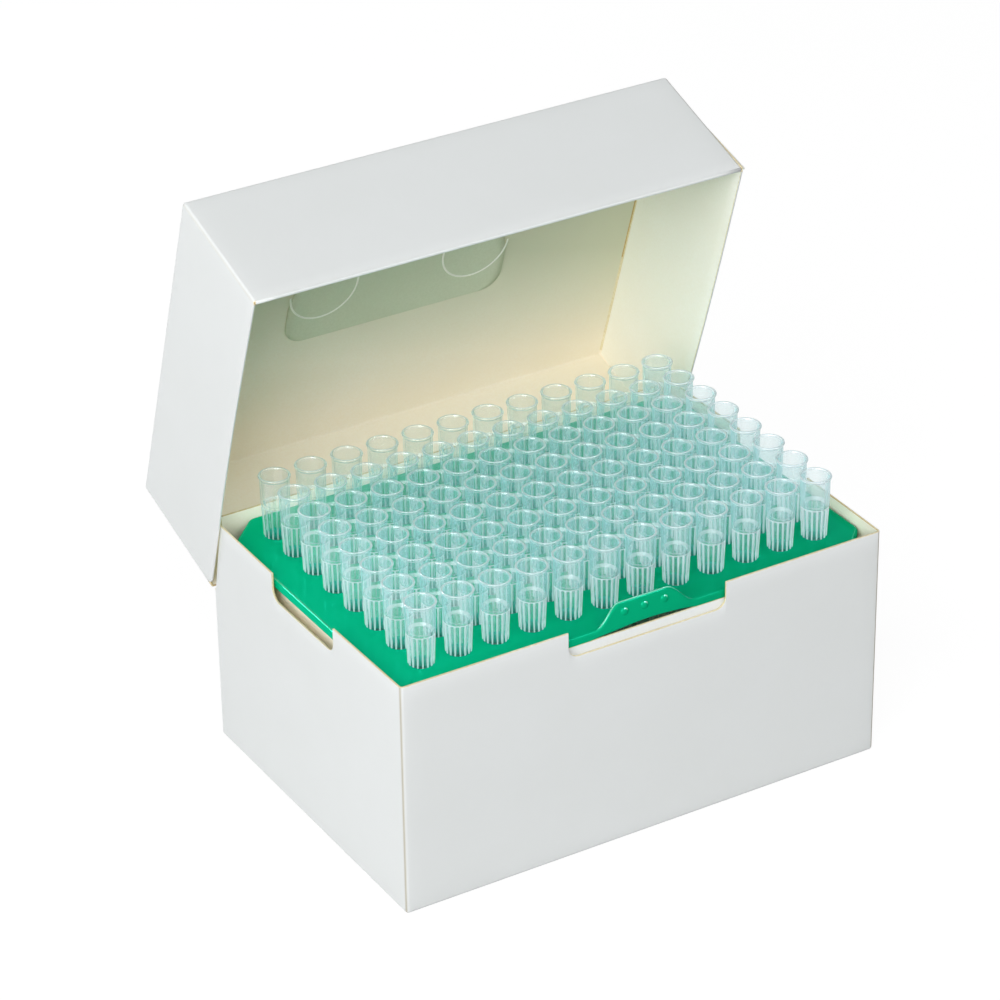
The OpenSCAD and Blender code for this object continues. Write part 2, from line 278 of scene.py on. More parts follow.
def finish_piece(obj, body, slot, *nodes, smooth_angle=40):
    """Merges doubles, shades faces smooth across gentle edges, and hands the piece to its CAD body."""
    shape = bmesh.new()
    shape.from_mesh(obj.data)
    bmesh.ops.remove_doubles(shape, verts=shape.verts, dist=DOUBLES)
    bmesh.ops.dissolve_degenerate(shape, edges=shape.edges, dist=NEEDLES)
    shape.to_mesh(obj.data)
    shape.free()
    obj.data.shade_smooth()
    obj.data.set_sharp_from_angle(angle=math.radians(smooth_angle))
    if body:
        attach(obj, body)
    if nodes:
        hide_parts(*nodes)


def rows_between(start, end, step):
    """Evenly spaced stations from start to end, no further apart than step."""
    return np.linspace(start, end, max(2, int(math.ceil(abs(end - start) / step)) + 1))


def fold_outline(x_marks, y_marks, r, turns=8):
    """A rounded rectangle walked anticlockwise from its front left: straight sides at the marks, joined
    by quarter circles centre + r (cos a, sin a). Returns points, outward normals and, as a share of the
    quarter turn, corner angles, which are -1 on the straight sides."""
    x0, x1, y0, y1 = x_marks[0], x_marks[-1], y_marks[0], y_marks[-1]
    turn = np.arange(1, turns) / turns * math.pi / 2
    points, normals, angles = [], [], []
    sides = (
        (x_marks, np.full_like(x_marks, y0 - r), -math.pi / 2, (x1, y0)),
        (np.full_like(y_marks, x1 + r), y_marks, 0.0, (x1, y1)),
        (x_marks[::-1], np.full_like(x_marks, y1 + r), math.pi / 2, (x0, y1)),
        (np.full_like(y_marks, x0 - r), y_marks[::-1], math.pi, (x0, y0)),
    )
    for xs, ys, facing, centre in sides:
        ray = np.stack([np.cos(facing + turn), np.sin(facing + turn)], -1)
        points += [np.stack([xs, ys], -1), np.array(centre) + r * ray]
        normals += [np.tile([math.cos(facing), math.sin(facing)], (len(xs), 1)), ray]
        angles += [np.full(len(xs), -1.0), turn / (math.pi / 2)]
    return np.concatenate(points), np.concatenate(normals), np.concatenate(angles)


def notch_marks(half, r, turns=7):
    """Stations across a notch: its two sides, and round corners spaced as r (1 - cos a)."""
    inside = half - r * (1 - np.cos(np.linspace(0, math.pi / 2, turns)))
    return np.concatenate([[-half - 0.01 * MM], -inside, inside[::-1], [half + 0.01 * MM]])


def notch_depth(t, half, depth, r):
    """Depth of a notch at distance t from its middle: depth - (r - sqrt(r^2 - (r - u)^2)) where the
    distance u to the side is under r, and 0 outside it."""
    u = half - np.abs(t)
    corner = r - np.sqrt(np.maximum(r**2 - np.maximum(r - u, 0) ** 2, 0))
    return np.where(u >= -1e-9, depth - corner, 0)


FLOOR_RING, FLOOR_BANDS = 0.98, 5


def board_section(fold, wall_rows):
    """The section of a folded wall with its bottom: from the middle of the outside, round the fold,
    up the wall, over the cut edge and down the inside. Each row gives (inset, lowest height, share of
    the wall's height, share of the floor's size, material). A ring just inside the folds keeps the floor
    flat to the eye. The last bands of faces are the inner fold and the inner floor."""
    rows = [(fold, 0, 0, spread, ON_COAT) for spread in (0.0, FLOOR_RING, 1.0)]
    for a in np.linspace(0, math.pi / 2, 6)[1:]:
        rows.append((fold * (1 - math.sin(a)), fold * (1 - math.cos(a)), 0, 1.0, ON_COAT))
    for t in np.linspace(0, 1, wall_rows)[1:]:
        rows.append((0, fold * (1 - t) - CUT_R * t, t, 1.0, ON_COAT))
    for a in np.linspace(0, math.pi / 2, 3)[1:]:
        rows.append((CUT_R * (1 - math.cos(a)), -CUT_R * (1 - math.sin(a)), 1, 1.0, ON_EDGE))
    rows.append((BOARD - CUT_R, 0, 1, 1.0, ON_EDGE))
    rows.append((BOARD, -CUT_R, 1, 1.0, ON_PULP))
    for t in np.linspace(1, 0, wall_rows)[1:]:
        rows.append((BOARD, fold * (1 - t) - CUT_R * t, t, 1.0, ON_INSIDE))
    inner = fold - BOARD
    for a in np.linspace(math.pi / 2, 0, 4)[1:]:
        rows.append((fold - inner * math.sin(a), fold - inner * math.cos(a), 0, 1.0, ON_INSIDE))
    return rows + [(fold, BOARD, 0, spread, ON_INSIDE) for spread in (FLOOR_RING, 0.0)]


def folded_box(outline, top, rows, bow):
    """Points and faces of a folded box: each row of the section is carried round the outline, inset along
    its normals, raised to its share of the wall's height, and pushed out by the bow."""
    points, normals, _ = outline
    inset, low, rise, spread, paint = (np.array(c, float) for c in zip(*rows))
    middle = (points.max(0) + points.min(0)) / 2
    flat = points[None] - inset[:, None, None] * normals[None]
    flat = middle + (flat - middle) * spread[:, None, None]
    height = low[:, None] + rise[:, None] * top[None]
    flat = flat + normals[None] * bow(points, height)[..., None] * spread[:, None, None]
    grid = np.concatenate([flat, height[..., None]], -1)
    faces = grid_faces(len(rows), len(points), True)
    return grid, faces, np.repeat(paint[1:].astype(int), len(points))


def crease_shade(obj, outline, rows, at, width, most=1.0):
    """Painted shade in the groove of each upright fold: a bell curve round the score line, 0 on the flat
    panels.
    """
    _, _, angles = outline
    groove_shade = np.where(angles < 0, 0, most * np.exp(-(((angles - at) / width) ** 2)))
    give_values(obj, "crease", np.tile(groove_shade, (len(rows), 1)))


def sides_of(outline):
    """Which points of an outline lie on the front panel and on the side panels."""
    facing = outline[1]
    return facing[:, 1] < -0.99, np.abs(facing[:, 0]) > 0.99


def panel_marks(low, high, *more):
    """Stations along a panel between its two folds, with any that its notches or corners need."""
    even = rows_between(low + FOLD_R, high - FOLD_R, PANEL_STEP)
    return np.unique(np.concatenate([even, *more]))


x_marks = panel_marks(-carton_half_w, carton_half_w, notch_marks(FRONT_NOTCH / 2, NOTCH_R))
y_marks = panel_marks(-carton_half_d, carton_half_d, NOTCH_SIDE_Y + notch_marks(SIDE_NOTCH / 2, NOTCH_R))
outline = fold_outline(x_marks, y_marks, FOLD_R)
wall = outline[0]
on_front, on_side = sides_of(outline)
top = np.full(len(wall), carton_rim)
top -= np.where(on_front, notch_depth(wall[:, 0], FRONT_NOTCH / 2, NOTCH_DEPTH, NOTCH_R), 0)
top -= np.where(on_side, notch_depth(wall[:, 1] - NOTCH_SIDE_Y, SIDE_NOTCH / 2, NOTCH_DEPTH, NOTCH_R), 0)
top = np.where(wall[:, 1] > carton_half_d - FOLD_R - 1e-6, hinge_z - CREASE_SLIT, top)


def carton_bow(points, height):
    """How far the side walls and, a third as much, the front bow out: a half sine along the wall times
    the square of the height's share."""
    along_side = np.cos(points[:, 1] / carton_half_d * math.pi / 2)
    along_front = np.cos(points[:, 0] / carton_half_w * math.pi / 2) / 3
    sideways = np.where(on_side, along_side, np.where(on_front, along_front, 0))
    return WALL_BOW * sideways[None] * (height / carton_rim) ** 2


rows = board_section(FOLD_R, wall_rows=16)
grid, faces, paint = folded_box(outline, top, rows, carton_bow)
carton = piece("folded_carton", grid, faces, BOARD_FACES, paint)
crease_shade(carton, outline, rows, SCORE_AT, SCORE_WIDTH)
finish_piece(carton, "box", "board", "carton", smooth_angle=50)

# ---------------------------------------------------------------------------------------------
# Lid. The same blank carried on past the crease in the back wall: back panel, top, two sides and
# a front panel whose free edge is folded inwards, so that its lining ends in a tongue under the top.
# ---------------------------------------------------------------------------------------------

LID_BOW = 0.6 * MM
LID_CORNER_R = 1.6 * MM
# Share of the painted groove shade that the lid's folds get.
LID_CREASE_SHADE = 0.3
lid_open = -math.radians(hinge["range_deg"][0])
lid_cad = np.array([v.co for v in frame["nodes"]["lid"].data.vertices])
away_y, away_z = lid_cad[:, 1] - hinge_y, lid_cad[:, 2] - hinge_z
lid_depth = -(away_y * math.cos(lid_open) - away_z * math.sin(lid_open)).min()
lid_height = (away_y * math.sin(lid_open) + away_z * math.cos(lid_open)).max()
lid_half_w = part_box("lid")[1].x


def from_lid(points):
    """Turns points of the lid's own frame (crease along X at the origin, closed lid towards -Y) by the
    opening angle about the crease."""
    x, y, z = np.moveaxis(np.asarray(points, float), -1, 0)
    turned_y = hinge_y + y * math.cos(lid_open) + z * math.sin(lid_open)
    turned_z = hinge_z - y * math.sin(lid_open) + z * math.cos(lid_open)
    return np.stack([x, turned_y, turned_z], -1)


x_marks = rows_between(-lid_half_w + FOLD_R, lid_half_w - FOLD_R, PANEL_STEP)
corner = -LID_CORNER_R * (1 - np.cos(np.linspace(0, math.pi / 2, 6)))
y_marks = rows_between(-lid_depth + FOLD_R, -LID_CORNER_R - FOLD_R, PANEL_STEP)
y_marks = np.unique(np.concatenate([y_marks, corner - FOLD_R]))
outline = fold_outline(x_marks, y_marks, FOLD_R)
wall, facing, _ = outline
on_front, on_side = sides_of(outline)
wall_h = lid_height - CREASE_SLIT
top = np.where(facing[:, 1] < -0.5, wall_h - BOARD, wall_h)
to_crease = np.clip(LID_CORNER_R + FOLD_R + wall[:, 1], 0, LID_CORNER_R)
top -= np.where(on_side, LID_CORNER_R - np.sqrt(LID_CORNER_R**2 - to_crease**2), 0)


def lid_bow(points, height):
    """How far the lid's side panels bow out at their free edge: half sine along the edge times the square
    of the height's share."""
    along = np.sin(np.clip(-points[:, 1] / lid_depth, 0, 1) * math.pi)
    return LID_BOW * np.where(on_side, along, 0)[None] * (height / lid_height) ** 2


rows = board_section(FOLD_R, wall_rows=12)
grid, faces, paint = folded_box(outline, top, rows, lid_bow)
grid[..., 2] = lid_height - grid[..., 2]

# The front's free edge is folded in, so it shows coat. The sides' inside is painted a paler tone, as painted
# light, and their cut is coated.
bands = len(rows) - 1
paint = np.where(np.tile(on_front, bands) & (paint > ON_INSIDE), ON_COAT, paint)
side_wall = np.tile(on_side, bands) & (np.arange(len(paint)) < (bands - FLOOR_BANDS) * len(wall))
paint = np.where(side_wall, np.array([ON_COAT, ON_LIT_INSIDE, ON_COAT, ON_EDGE])[paint], paint)
lid = piece("folded_lid", from_lid(grid), faces[:, ::-1], BOARD_FACES, paint)
crease_shade(lid, outline, rows, SCORE_AT, SCORE_WIDTH, LID_CREASE_SHADE)
finish_piece(lid, "lid", "board", "lid", smooth_angle=50)

# Lining: the front panel's second layer, folded in at the free edge. It ends in a tongue under the top.
TONGUE_REACH, TONGUE_HALF, TONGUE_SHIFT, TONGUE_R = 51 * MM, 28 * MM, -2.3 * MM, 5 * MM
NECK_HALF, TONGUE_SPREAD_END = 16 * MM, 3 * MM
MOON_INSET, MOON_R, MOON_SPAN, MOON_RUN = 14.6 * MM, 8.5 * MM, 39 * MM, 9 * MM
LINING_PLAY, LINING_THINNED, BEND_R = 0.05 * MM, 0.04 * MM, 0.7 * MM
TONGUE_START, TONGUE_STEP = 1 * MM, 3 * MM
lining_y = -lid_depth + 2 * BOARD
inside_z = lid_height - BOARD
lining_half = lid_half_w - BOARD - LINING_PLAY
end_y = lining_y + TONGUE_REACH

turn = np.linspace(0, math.pi, 9)
edge_z = CREASE_SLIT + BOARD
fold_path = np.stack([-lid_depth + BOARD - BOARD * np.cos(turn), edge_z - BOARD * np.sin(turn)], -1)
panel_z = np.linspace(edge_z, inside_z - BOARD - BEND_R, 9)[1:]
panel_path = np.stack([np.full(8, lining_y), panel_z], -1)
turn = np.linspace(0, math.pi / 2, 6)[1:]
bend_z = inside_z - BOARD - BEND_R + BEND_R * np.sin(turn)
bend_path = np.stack([lining_y + BEND_R * (1 - np.cos(turn)), bend_z], -1)
straight = rows_between(lining_y + TONGUE_START, end_y - TONGUE_R, TONGUE_STEP)
rounded = end_y - TONGUE_R * (1 - np.sin(np.linspace(0, math.pi / 2, 8)[1:]))
tongue_y = np.concatenate([straight, rounded])
tongue_path = np.stack([tongue_y, np.full_like(tongue_y, inside_z - BOARD)], -1)
path = np.concatenate([fold_path, panel_path, bend_path, tongue_path])


def tongue_half(y):
    """Half width of the tongue: it spreads in a straight line from its neck to the cuts, runs straight, and
    ends in corners of radius r: half - r + sqrt(r^2 - (y - y_end + r)^2)."""
    spread = np.interp(y, [lining_y, end_y - MOON_INSET + TONGUE_SPREAD_END], [NECK_HALF, TONGUE_HALF])
    past = np.clip(y - (end_y - TONGUE_R), 0, TONGUE_R)
    return spread - TONGUE_R + np.sqrt(TONGUE_R**2 - past**2)


on_tongue = np.arange(len(path)) >= len(fold_path) + len(panel_path)
half = np.where(on_tongue, tongue_half(path[:, 0]), lining_half)
middle = np.where(on_tongue, TONGUE_SHIFT, 0)
skin_x = middle[:, None] + half[:, None] * np.linspace(-1, 1, 25)
skin = np.stack([skin_x, *(np.broadcast_to(path[:, i : i + 1], skin_x.shape) for i in (0, 1))], -1)
on_fold = np.repeat(np.arange(len(path) - 1) < len(fold_path), skin_x.shape[1] - 1)
skin_faces = grid_faces(*skin_x.shape, False)[:, ::-1]
# The lining's greenish grey is painted shade under the lid's top, tinted by the tray's green light.
lining = piece("lid_lining", from_lid(skin), skin_faces, (COAT, EDGE, SHADED_LINING), np.where(on_fold, 0, 2))
thick = lining.modifiers.new("board", "SOLIDIFY")
thick.thickness, thick.offset = BOARD - LINING_THINNED, -1
thick.material_offset_rim = 1
finish_piece(lining, "lid", "board")


def ribbon(path, width, height):
    """A flat strip along a path: the path moved sideways by plus and minus half the width, raised by the
    height in its middle."""
    ahead = np.gradient(path, axis=0)
    ahead /= np.linalg.norm(ahead, axis=1, keepdims=True)
    side = np.stack([-ahead[:, 1], ahead[:, 0]], -1)
    flat = path[:, None] + np.array([-0.5, 0, 0.5])[:, None] * width * side[:, None]
    lift = np.broadcast_to(np.array([0, height, 0])[:, None], (*flat.shape[:2], 1))
    return np.concatenate([flat, lift], -1)


# Half-moon cuts in the tongue: their burred fibre edges stand up as thin raised lines, coloured in the side
# panels' lighter tone as a painted highlight.
CUT_W, CUT_LIFT, CUT_GAP = 0.5 * MM, 0.13 * MM, 0.01 * MM
strips, strip_faces = [], []
for n, side in enumerate((-1, 1)):
    centre = np.array([TONGUE_SHIFT + side * MOON_SPAN / 2, end_y - MOON_INSET])
    a = np.linspace(0, math.pi, 33)
    arc = centre + MOON_R * np.stack([side * np.cos(a), np.sin(a)], -1)
    run = centre + np.stack([np.full(8, -side * MOON_R), -np.linspace(0, MOON_RUN, 9)[1:]], -1)
    cut = ribbon(np.concatenate([arc, run]), CUT_W, CUT_LIFT)
    cut[..., 2] = inside_z - BOARD - CUT_GAP - cut[..., 2]
    strips.append(from_lid(cut).reshape(-1, 3))
    strip_faces.append(grid_faces(len(cut), 3, False)[:, ::side] + n * len(strips[0]))
cuts = piece("tongue_cuts", np.concatenate(strips), np.concatenate(strip_faces), (LIT_INSIDE,))
finish_piece(cuts, "lid", "board")


def stick(name, spine, section, materials, face_material):
    """A closed prism: the section's corner offsets, scaled at each station, carried along the spine, with a
    pole at each end."""
    stations, scale = spine[:, :3], spine[:, 3]
    stations = np.concatenate([stations[:1], stations, stations[-1:]])
    scale = np.concatenate([[0], scale, [0]])
    points = stations[:, None] + scale[:, None, None] * section[None]
    faces = grid_faces(len(stations), len(section), True)
    return piece(name, from_lid(points), faces, materials, face_material)


# Seam: the right side is a glued flap, so a raw slit runs down the lid's inner right corner.
PULP_BANDS, SEAM_SHORT = 7, 2 * MM
seam_y = np.linspace(-lid_depth + SEAM_SHORT, -SEAM_SHORT, 12)
spine = np.stack(np.broadcast_arrays(lid_half_w - BOARD, seam_y, lid_height - BOARD, 1), -1)
corner = MM * np.array([(0.1, 0, 0.1), (0.1, 0, -0.55), (-0.16, 0, -0.16), (-0.55, 0, 0.1)])
paint = np.tile([1, 1, 0, 1], (len(spine) + 1, 1))
paint[PULP_BANDS + 1 :] = 1
seam = stick("lid_inner_seam", spine, corner, (PULP, EDGE), paint.ravel())
finish_piece(seam, "lid", "board", smooth_angle=30)

# The flap's own raw edge stands out at the front, and less and less up the corner.
FLAP_RUN, FLAP_START = 19 * MM, 0.3 * MM
FLAP_IN_X, FLAP_IN_Y = 0.3 * MM, 0.45 * MM
flap_z = np.linspace(FLAP_START, FLAP_RUN, 8)
shrink = np.maximum(0.02, 1 - flap_z / FLAP_RUN)
spine = np.stack(np.broadcast_arrays(lid_half_w - FLAP_IN_X, -lid_depth + FLAP_IN_Y, flap_z, shrink), -1)
raw = MM * np.array([(0, -0.52, 0), (0.35, -0.5, 0), (0.8, -0.3, 0), (0.8, 0.1, 0), (0, 0.1, 0)])
# The flap edge's other faces take the side panels' paler tone of painted light.
flap = stick("lid_flap_edge", spine, raw, (EDGE, LIT_INSIDE), np.tile([0, 1, 1, 1, 0], len(spine) + 1))
finish_piece(flap, "lid", "board", smooth_angle=30)

# Crease: the scored fold itself, a thin band of the coat that bends with the lid.
BAND, BAND_EDGE, BAND_T = 1.2 * MM, 0.25 * MM, 0.12 * MM
reaches = np.array([BAND, BAND / 2, BAND_EDGE])
turned = from_lid(np.stack([0 * reaches, 0 * reaches, reaches], -1))
below = np.stack(np.broadcast_arrays(0, hinge_y, hinge_z - reaches[::-1]), -1)
spine = np.concatenate([turned, below])
ends = np.linspace(-carton_half_w + FOLD_R, carton_half_w - FOLD_R, 31)
band = np.repeat(spine[:, None], len(ends), 1)
band[..., 0] = ends
crease = piece("lid_crease", band, grid_faces(len(spine), len(ends), False), (COAT,))
thick = crease.modifiers.new("coat", "SOLIDIFY")
thick.thickness, thick.offset = BAND_T, 0
finish_piece(crease, None, "board", smooth_angle=80)
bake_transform(crease)

# ---------------------------------------------------------------------------------------------
# Liner. A ring of the same board that stands inside the carton. The tray sits on the edge of its
# front and sides, and its back panel reaches the rim behind the tips.
# ---------------------------------------------------------------------------------------------

SLEEVE_BELOW_SKIRT = 0.9 * MM
LINER_BOW = 1.4 * MM
liner_low, liner_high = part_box("liner")
tray_low, tray_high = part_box("tray")
x_marks = panel_marks(liner_low.x, liner_high.x)
y_marks = panel_marks(liner_low.y, liner_high.y)
outline = fold_outline(x_marks, y_marks, FOLD_R)
at_back = outline[0][:, 1] > liner_high.y - FOLD_R + 0.1 * MM
height = np.where(at_back, liner_high.z, tray_low.z + SLEEVE_BELOW_SKIRT) - liner_low.z
_, on_side = sides_of(outline)
rows = [(BOARD, 0, 0, 1, ON_PULP), (0, 0, 0, 1, ON_PULP)]
rows += [(0, -CUT_R * t, t, 1, ON_COAT) for t in np.linspace(0, 1, 10)[1:]]
rows += [(CUT_R, 0, 1, 1, ON_EDGE), (BOARD - CUT_R, 0, 1, 1, ON_EDGE), (BOARD, -CUT_R, 1, 1, ON_PULP)]
rows += [(BOARD, -CUT_R * t, t, 1, ON_INSIDE) for t in np.linspace(1, 0, 10)[1:]]


def liner_bow(points, height):
    """How far the liner's sides bow inwards between its folds: a half sine along the side."""
    along = np.cos(points[:, 1] / carton_half_d * math.pi / 2)
    return -LINER_BOW * np.where(on_side, along, 0)[None] * np.ones_like(height)


grid, faces, paint = folded_box(outline, height, rows, liner_bow)
grid[..., 2] += liner_low.z
paint = np.where(np.tile(on_side, len(rows) - 1) & (paint == ON_COAT), ON_INSIDE, paint)
liner = piece("card_liner", grid, faces, BOARD_FACES, paint)
crease_shade(liner, outline, rows, at=0.5, width=0.3)
finish_piece(liner, "box", "liner_board", "liner", smooth_angle=50)

# ---------------------------------------------------------------------------------------------
# Tray. One moulding in green polypropylene: a satin plate with 96 sleeved holes, a round-edged skirt
# that stands on the liner, and a scalloped finger grip with three bumps drawn up out of its front edge.
# ---------------------------------------------------------------------------------------------

PITCH, COLUMNS, ROWS = 9 * MM, 12, 8
RIM_ABOVE_DECK = 14.9 * MM
HOLE_R, SLEEVE_T, SLEEVE_H = 2.45 * MM, 0.7 * MM, 1.6 * MM
PLATE_T, SKIRT_H, SKIRT_T = 1.2 * MM, 1.9 * MM, 1.4 * MM
LONG_CUT, SHORT_CUT, TRAY_R = 8 * MM, 6.5 * MM, 2.5 * MM
EDGE_IN, EDGE_DOWN, RIDGE_R = 0.55 * MM, 0.8 * MM, 0.5 * MM
GRIP_H, GRIP_CREST, GRIP_FOOT = 4.5 * MM, 6.1 * MM, 12.6 * MM
GRIP_LEAN = math.tan(math.radians(12))
GRIP_GAP, GAP_START, GAP_RUN = 1.2 * MM, -13.4 * MM, 25.8 * MM
BUMP_SPAN, BUMP_R, BUMP_OUT, BUMP_UP = 5.0 * MM, 0.95 * MM, 0.45 * MM, 2.5 * MM
tips_low, tips_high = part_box("tips_column_01")
deck = tips_high.z - RIM_ABOVE_DECK
grid_y = (tips_low.y + tips_high.y) / 2
half_x, rear_y = tray_high.x, tray_high.y
front_y = 2 * grid_y - rear_y

# Green polypropylene, injection moulded with a satin face: a saturated green with painted light, lighter on
# the left and darker to the right, a painted shade as a bluer ring round each hole under the tip's feet, and
# a soft gloss that shows at grazing angles, with a painted highlight from an attribute on the rounded edges.
FOOT_SHADE_INNER, FOOT_SHADE_OUTER = 2.5 * MM, 3.0 * MM
material, tree = new_material("green_polypropylene")
place = add(tree, "TexCoord").outputs["Object"]
flow = add(tree, "TexNoise", {"Vector": place, "Scale": 0.035 / MM, "Detail": 3.0})
along_x, along_y, _ = add(tree, "SeparateXYZ", {"Vector": place}).outputs
# Painted light: the green is lighter on the left and darker to the right, as the light falls across the
# plate.
along = add(tree, "MapRange", {"Value": along_x, "From Min": -60 * MM, "From Max": 15 * MM})
painted_falloff_and_flow = add(tree, "MixRGB", {0: 0.25, 1: along, 2: flow.outputs["Color"]})
tone = add(tree, "MixRGB", {0: painted_falloff_and_flow, 1: linear("#00BC86"), 2: linear("#009460")})
# The grid of holes, as a place in each cell from 0 to 1. Beyond the grid it stays at the cell's border.
shares = []
for tap, shift, cells in ((along_x, COLUMNS / 2, COLUMNS), (along_y, ROWS / 2 - grid_y / PITCH, ROWS)):
    cell = add(tree, "Math", {0: tap, 1: 1 / PITCH, 2: shift}, operation="MULTIPLY_ADD")
    cell = add(tree, "Clamp", {"Value": cell, "Min": 0.001, "Max": cells - 0.001})
    shares.append(add(tree, "Math", {0: cell}, operation="FRACT"))
cell = add(tree, "CombineXYZ", {"X": shares[0], "Y": shares[1], "Z": 0.0})
reach = add(tree, "VectorMath", {0: cell, 1: (0.5, 0.5, 0)}, operation="DISTANCE").outputs["Value"]
# Painted shade: a darker, bluer ring round each hole, under the tip's feet.
foot_shade = add(tree, "MapRange", {"Value": reach, "From Min": FOOT_SHADE_INNER / PITCH, "From Max": FOOT_SHADE_OUTER / PITCH})
tone = add(tree, "MixRGB", {0: foot_shade, 1: linear("#00A48E"), 2: tone})
spark = add(tree, "TexNoise", {"Vector": place, "Scale": 0.9 / MM, "Detail": 2.0})
bump = add(tree, "Bump", {"Height": spark.outputs["Fac"], "Strength": 0.1, "Distance": 0.05 * MM})
satin = {"Base Color": tone, "Roughness": 0.4, "IOR": 1.49, "Specular IOR Level": 0.0, "Normal": bump}
body = add(tree, "BsdfPrincipled", satin)
# Painted highlight: this attribute brightens and whitens the gloss on the rounded edges.
painted_highlight = add(tree, "Attribute", attribute_name="painted_highlight").outputs["Fac"]
glint = add(tree, "MixRGB", {0: painted_highlight, 1: linear("#38FFE1"), 2: linear("#BCFFED")})
shine = add(tree, "BsdfGlossy", {"Color": glint, "Roughness": 0.12, "Normal": bump})
steep = add(tree, "LayerWeight", {"Blend": 0.5, "Normal": bump}).outputs["Facing"]
steep = add(tree, "Math", {0: steep, 1: 5.0}, operation="POWER")
grazing = add(tree, "MapRange", {"Value": steep, "To Min": 0.05, "To Max": 0.7})
bright = add(tree, "Math", {0: painted_highlight, 1: 0.6}, operation="MULTIPLY")
share = add(tree, "Math", {0: grazing, 1: bright}, operation="MAXIMUM")
add(tree, "OutputMaterial", {"Surface": add(tree, "MixShader", {0: share, 1: body, 2: shine})})
GREEN = material


def corner_arc(before, at, after, r, steps=6):
    """The turn that rounds a corner, centre + r (cos a, sin a), from the normal of the side that comes in to
    the normal of the side that goes out. Returns points and outward normals."""
    came, goes = (at - before) / np.linalg.norm(at - before), (after - at) / np.linalg.norm(after - at)
    turn = math.acos(np.clip(came @ goes, -1, 1))
    centre = at - came * r * math.tan(turn / 2) + r * np.array([-came[1], came[0]])
    a = math.atan2(-came[0], came[1]) + np.linspace(0, turn, steps)
    ray = np.stack([np.cos(a), np.sin(a)], -1)
    return centre + r * ray, ray


def ease(t):
    """Smooth step t^2 (3 - 2 t), held at 0 and 1 outside its run."""
    t = np.clip(t, 0, 1)
    return t * t * (3 - 2 * t)


# Plate: one square cell round each hole, from its top edge down the sleeve and back under the plate.
side = (np.arange(9) / 9 - 0.5) * PITCH
flat = np.full(9, PITCH / 2)
pairs = ((side, -flat), (flat, side), (-side, flat), (-flat, -side))
square = np.concatenate([np.stack(pair, -1) for pair in pairs])
ray = square / np.linalg.norm(square, axis=1, keepdims=True)
sleeve = np.array(
    [
        (HOLE_R + 0.25 * MM, 0),
        (HOLE_R + 0.07 * MM, -0.07 * MM),
        (HOLE_R, -0.25 * MM),
        (HOLE_R, -PLATE_T - SLEEVE_H),
        (HOLE_R + SLEEVE_T, -PLATE_T - SLEEVE_H),
        (HOLE_R + SLEEVE_T, -PLATE_T),
    ]
)
flat = np.concatenate([square[None], sleeve[:, :1, None] * ray[None], square[None]])
height = np.concatenate([[0], sleeve[:, 1], [-PLATE_T]])
cell = np.concatenate([flat, np.broadcast_to(height[:, None, None], (*flat.shape[:2], 1))], -1)
column, row = np.meshgrid(np.arange(COLUMNS) - (COLUMNS - 1) / 2, np.arange(ROWS) - (ROWS - 1) / 2)
holes = column.size
centres = np.stack([column.ravel() * PITCH, grid_y + row.ravel() * PITCH, np.full(holes, deck)], -1)
cell_faces = np.arange(holes)[:, None, None] * cell[..., 0].size + grid_faces(len(height), len(square), True)
parts = [((centres[:, None, None] + cell).reshape(-1, 3), cell_faces.reshape(-1, 4))]
highlighted = [np.zeros(len(parts[0][0]))]

# Edge: the plate's border with its skirt, carried round the outline, and raised to the grip in front.
corners = np.array(
    [
        (-half_x, front_y),
        (half_x - SHORT_CUT, front_y),
        (half_x, front_y + SHORT_CUT),
        (half_x, rear_y - SHORT_CUT),
        (half_x - SHORT_CUT, rear_y),
        (-half_x + LONG_CUT, rear_y),
        (-half_x, rear_y - LONG_CUT),
    ]
)
arcs = [corner_arc(corners[i - 1], corners[i], corners[(i + 1) % 7], TRAY_R) for i in range(7)]
half_grid = np.array([COLUMNS, ROWS]) / 2
field = np.array([(-1, -1), (1, -1), (1, 1), (-1, 1)]) * half_grid * PITCH + (0, grid_y)
rim, facing, border = [], [], []
for side, (last, turns) in enumerate(((0, (1, 2)), (2, (3, 4)), (4, (5, 6)), (6, (0,)))):
    begin, end = field[side], field[(side + 1) % 4]
    line = np.linspace(begin, end, int(round(np.linalg.norm(end - begin) / MM)) + 1)
    ends = np.stack([arcs[last][0][-1], arcs[turns[0]][0][0]])
    rim.append(np.clip(line, ends.min(0), ends.max(0)))
    facing.append(np.tile(arcs[turns[0]][1][0], (len(line), 1)))
    border.append(line)
    for i in turns:
        rim.append(arcs[i][0])
        facing.append(arcs[i][1])
        border.append(np.tile(end, (len(arcs[i][0]), 1)))
rim, facing, border = np.concatenate(rim), np.concatenate(facing), np.concatenate(border)
on_front = facing[:, 1] < -0.99

# The grip's crest is a smooth step up and down. The gap under it is a half sine that leans to the right,
# flattened by a power under 1. The other sides count as far away from the grip.
FAR, GAP_LEANS, GAP_FLATTENS = 1.0, 1.2, 0.7
across = np.where(on_front, rim[:, 0], FAR)
crest = GRIP_H * ease((GRIP_FOOT - np.abs(across)) / (GRIP_FOOT - GRIP_CREST))
gap_share = np.clip((across - GAP_START) / GAP_RUN, 0, 1) ** GAP_LEANS
gap = GRIP_GAP * np.sin(math.pi * gap_share) ** GAP_FLATTENS


